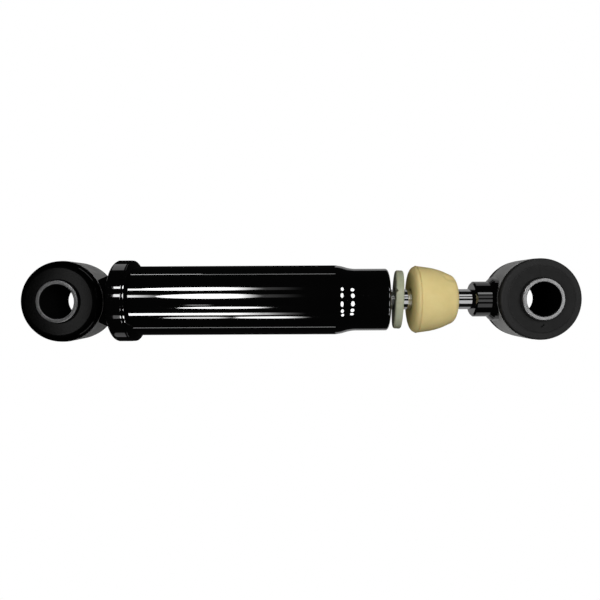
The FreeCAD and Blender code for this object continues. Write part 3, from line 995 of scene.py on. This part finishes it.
rod = model_rod()
fit(rod, "rod", "rod_chrome", chrome, "piston_rod")
shank = model_shank()
fit(shank, "rod", "black_paint", forging_enamel, "rod_eye_shank")
rod_bead = model_eye_weld("rod_eye_weld_bead", rod_eye_x, -1, shank_r, rod_weld_leg, 23)
fit(rod_bead, "rod", "black_paint", forging_enamel, "rod_eye_weld")
washer = model_washer()
fit(washer, "washer", "washer_plastic", nylon, "stop_washer")
stop = model_bump_stop()
fit(stop, "bump", "bump_foam", foam, "bump_stop")
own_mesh(stop)


# Pieces inside the tube, as the frame has them

inner_finishes = {
    "inner_steel": inner_finish(
        "oiled_steel", shade(0.32), shade(0.42), 1.0, 0.22, 0.34, 0.004),
    "sintered_iron": inner_finish(
        "sintered_iron", shade(0.12), shade(0.2), 1.0, 0.5, 0.65, 0.03),
    "bush_bronze": inner_finish(
        "bush_bronze", (0.42, 0.26, 0.11, 1), (0.52, 0.33, 0.15, 1), 1.0, 0.25, 0.38, 0.004),
    "seal_rubber": inner_finish(
        "seal_rubber", shade(0.012), shade(0.02), 0.0, 0.5, 0.62, 0.01),
    "band_plastic": inner_finish(
        "band_plastic", (0.06, 0.035, 0.02, 1), (0.1, 0.055, 0.03, 1), 0.0, 0.35, 0.5, 0.005),
}
node_slots = {row["node"]: row["material_slot"] for row in frame["record"]["subparts"]}
for node_name, node in frame["nodes"].items():
    if node.hide_render:
        continue
    finish = inner_finishes[node_slots[node_name]]
    for slot in node.material_slots:
        slot.material = finish


# Floor, light and camera


def lay_floor():
    """A level pale floor, just under the collar and clear of the rod eye as it turns."""
    leave_nothing_selected()
    bpy.ops.mesh.primitive_plane_add(size=6.0)
    floor = name_piece("floor")
    floor.location = (0, 0, (-collar_r - 0.1) * MM)
    pale = bpy.data.materials.new("pale_floor")
    pale.use_nodes = True
    shader = pale.node_tree.nodes["Principled BSDF"]
    shader.inputs["Base Color"].default_value = (0.0, 0.0, 0.0, 1)
    shader.inputs["Specular IOR Level"].default_value = 0.0
    shader.inputs["Emission Color"].default_value = (1, 1, 1, 1)
    shader.inputs["Emission Strength"].default_value = 1.0
    floor.data.materials.append(pale)
    floor.visible_glossy = False
    floor.visible_diffuse = False
    floor.visible_shadow = False


def new_lamp(name, length, width, power, shape="RECTANGLE"):
    """An area lamp whose face has the given brightness."""
    lamp = bpy.data.lights.new(name, "AREA")
    lamp.shape = shape
    lamp.size = length * MM
    lamp.size_y = width * MM
    face = lamp.size * lamp.size_y * (math.pi / 4 if shape == "ELLIPSE" else 1.0)
    lamp.energy = power * math.pi * face
    holder = bpy.data.objects.new(name, lamp)
    bpy.context.scene.collection.objects.link(holder)
    holder.visible_camera = False
    return holder


def fade_lamp(lamp, fade_in, fade_out):
    """Lets a lamp's light come up and die away over shares of its length."""
    lamp.use_nodes = True
    tree = lamp.node_tree
    place = tree.nodes.new("ShaderNodeNewGeometry")
    along = tree.nodes.new("ShaderNodeSeparateXYZ")
    both = add_node(tree, "ShaderNodeMath", {"operation": "MULTIPLY"})
    tree.links.new(place.outputs["Parametric"], along.inputs["Vector"])
    for i, (dark, full) in enumerate(((0.0, fade_in), (1.0, 1.0 - fade_out))):
        if dark == full:
            both.inputs[i].default_value = 1.0
            continue
        ramp = add_node(tree, "ShaderNodeMapRange", {"interpolation_type": "SMOOTHSTEP"})
        ramp.inputs["From Min"].default_value = dark
        ramp.inputs["From Max"].default_value = full
        tree.links.new(along.outputs["X"], ramp.inputs["Value"])
        tree.links.new(ramp.outputs["Result"], both.inputs[i])
    tree.links.new(both.outputs[0], tree.nodes["Emission"].inputs["Strength"])


def hang_strip(
        name, angle, width, start, end, power,
        fade_in=0.0, fade_out=0.0, shape="RECTANGLE", distance=600.0):
    """A strip lamp parallel to the damper, at an angle from straight above towards +Y.

    It shows in glossy surfaces and gives no soft light.
    """
    holder = new_lamp(name, end - start, width, power, shape)
    if fade_in or fade_out:
        fade_lamp(holder.data, fade_in, fade_out)
    lean = math.radians(angle)
    holder.location = (
        (start + end) / 2 * MM, distance * MM * math.sin(lean), distance * MM * math.cos(lean))
    holder.rotation_euler = (-lean, 0, 0)
    holder.visible_diffuse = False
    return holder


def hang_softbox(name, place, aim, length, width, power):
    """A soft lamp that lights dull surfaces and does not show in glossy ones."""
    holder = new_lamp(name, length, width, power)
    holder.location = Vector(place) * MM
    holder.rotation_euler = (Vector(place) - Vector(aim)).to_track_quat("Z", "Y").to_euler()
    holder.visible_glossy = False
    return holder


def light_only(holder, *pieces):
    """Lets a lamp reach only these pieces."""
    lit = bpy.data.collections.new(holder.name)
    for piece in pieces:
        lit.objects.link(piece)
    holder.light_linking.receiver_collection = lit


lay_floor()

# Each strip's name, angle, width, start, end and brightness, then its fades, shape and distance.
# Lamps in one plane hide each other, so those that overlap others hang a little behind.
behind = 606
beside = 500
for name, *row in (
        ("strip_1_start", 37, 62, -169, -50, 10, 0.0, 0.5, "RECTANGLE", behind),
        ("strip_1", 38, 112, -125, 85, 12, 0.0, 0.35, "ELLIPSE"),
        ("strip_1_tail", 38, 90, 50, 150, 0.3, 0.2, 0.7, "RECTANGLE", behind),
        ("strip_2_start", 15, 76, -169, -85, 9, 0.0, 0.9, "RECTANGLE", behind),
        ("strip_2", 14, 160, -100, 80, 12, 0.0, 0.3, "ELLIPSE"),
        ("strip_2_tail", 14, 100, 50, 150, 0.3, 0.2, 0.7, "RECTANGLE", behind),
        ("strip_3", -23, 62, -65, 98, 12, 0.0, 0.25, "ELLIPSE"),
        ("strip_3_start", -14, 20, -55, -5, 3, 0.3, 0.3),
        ("strip_4", -44, 78, -156, 120, 12, 0.0, 0.4),
        ("strip_4_tail", -44, 70, 80, 150, 1.0, 0.0, 0.7, "RECTANGLE", behind),
        ("strip_5_start", -57, 60, -90, 35, 7, 0.0, 0.3, "ELLIPSE"),
        ("strip_5", -57, 75, 20, 160, 10, 0.0, 0.4, "ELLIPSE"),
        ("strip_4_collar", -44, 100, -175, -158, 0.8)):
    light_only(
        hang_strip(name, *row), tube, tube_bead, cap, base_bead, rod_bush,
        base_ring, rod_ring, base_sleeve, rod_sleeve, washer, stop)
for name, *row in (
        ("collar_upper", 110, 277, -147, -112, 0.55),
        ("collar_lower", -109, 185, -142, -112, 0.35)):
    light_only(hang_strip(name, *row, distance=beside), cap, tube_bead)
light_only(hang_strip("bush_glow", -1, 200, -265, -195, 1.6), base_bush)
for name, angle in (("bush_rim_upper", 80), ("bush_rim_lower", -80)):
    light_only(hang_strip(name, angle, 60, 90, 500, 2.5, distance=beside), base_bush)
for name, *row in (
        ("line_upper_left", 95.5, 16, -125, -7, 4.2),
        ("line_upper_right", 94, 16, -7, 205, 1.7),
        ("line_lower", -99, 16, -125, 205, 2.0)):
    light_only(hang_strip(name, *row, distance=beside), tube)
for name, angle, width in (
        ("swage_1", 37, 63), ("swage_2", 15, 83), ("swage_3", -14, 97),
        ("swage_4", -38, 68), ("swage_5", -53, 50)):
    light_only(
        hang_strip(name, angle, width, 268, 318, 11, shape="ELLIPSE", distance=300), tube)
for name, *row in (
        ("rod_1", 45, 200, 270, 470, 0.8),
        ("rod_2", 16, 165, 270, 470, 0.8),
        ("rod_3", -32, 420, 270, 470, 0.75)):
    light_only(hang_strip(name, *row), rod)
for name, *row in (
        ("shank_1", 38, 132, 425, 500, 1.85),
        ("shank_2", 15, 165, 425, 500, 0.5),
        ("shank_3", -10, 165, 425, 500, 0.6),
        ("shank_4", -42, 265, 425, 500, 0.5)):
    light_only(hang_strip(name, *row), shank)

# Softboxes for the dull surfaces
hang_softbox("key", (520, 150, 640), (200, 0, 0), 500, 500, 4.6)
hang_softbox("fill", (-300, 0, 450), (0, 0, 0), 300, 300, 2.0)
hang_softbox("side_upper", (150, 520, 60), (150, 0, 0), 500, 250, 0.75)
hang_softbox("side_lower", (150, -520, 60), (150, 0, 0), 500, 250, 0.7)
light_only(
    hang_softbox("foam_front", (-20, 0, 520), (220, 0, 0), 300, 300, 2.1), stop, washer)
for name, side, power, ring in (
        ("base_ring_upper", 1, 27, base_ring), ("base_ring_lower", -1, 18, base_ring),
        ("rod_ring_upper", 1, 23, rod_ring), ("rod_ring_lower", -1, 26, rod_ring)):
    light_only(
        hang_softbox(name, (150, side * 520, 60), (150, 0, 0), 500, 250, power), ring)

# Faint glows from below along the edges of the neck and the rod, and one lamp for the rod's sleeve
for name, middle, length, width, *pieces in (
        ("glow_neck", 231, 118, 210, tube), ("glow_rod", 410, 420, 1200, rod, shank, rod_bead)):
    under = new_lamp(name, length, width, 0.35)
    under.location = (middle * MM, 0, -90 * MM)
    under.rotation_euler = (math.pi, 0, 0)
    under.visible_diffuse = False
    light_only(under, *pieces)
sleeve_light = new_lamp("sleeve_light", 65, 120, 3.6)
sleeve_light.location = (367.5 * MM, 0, 200 * MM)
sleeve_light.visible_diffuse = False
light_only(sleeve_light, rod_sleeve)

# The room is faint to the part and white to the camera
world = bpy.data.worlds.new("studio")
bpy.context.scene.world = world
world.use_nodes = True
sky = world.node_tree
room = sky.nodes["Background"]
room.inputs["Color"].default_value = (1, 1, 1, 1)
room.inputs["Strength"].default_value = 0.1
ray = sky.nodes.new("ShaderNodeLightPath")
seen = room.outputs["Background"]
for kind, strength in (("Is Glossy Ray", 0.006), ("Is Camera Ray", 1.0)):
    other = add_node(sky, "ShaderNodeBackground", {}, Color=(1, 1, 1, 1), Strength=strength)
    choose = sky.nodes.new("ShaderNodeMixShader")
    sky.links.new(ray.outputs[kind], choose.inputs["Fac"])
    sky.links.new(seen, choose.inputs[1])
    sky.links.new(other.outputs["Background"], choose.inputs[2])
    seen = choose.outputs["Shader"]
sky.links.new(seen, sky.nodes["World Output"].inputs["Surface"])

# The camera stands where the photo's proportions put it
camera_data = bpy.data.cameras.new("camera")
camera_data.sensor_width = 36.0
camera_data.lens = 32.343
camera_data.clip_start = 0.01
camera = bpy.data.objects.new("camera", camera_data)
bpy.context.scene.collection.objects.link(camera)
camera.location = (0.1431059, 0.0045453, 0.3323063)
camera.rotation_mode = "ZXY"
camera.rotation_euler = (math.radians(-0.789), math.radians(0.290), math.radians(-0.292))
bpy.context.scene.camera = camera
bpy.context.scene.view_settings.view_transform = "Standard"

leave_nothing_selected()
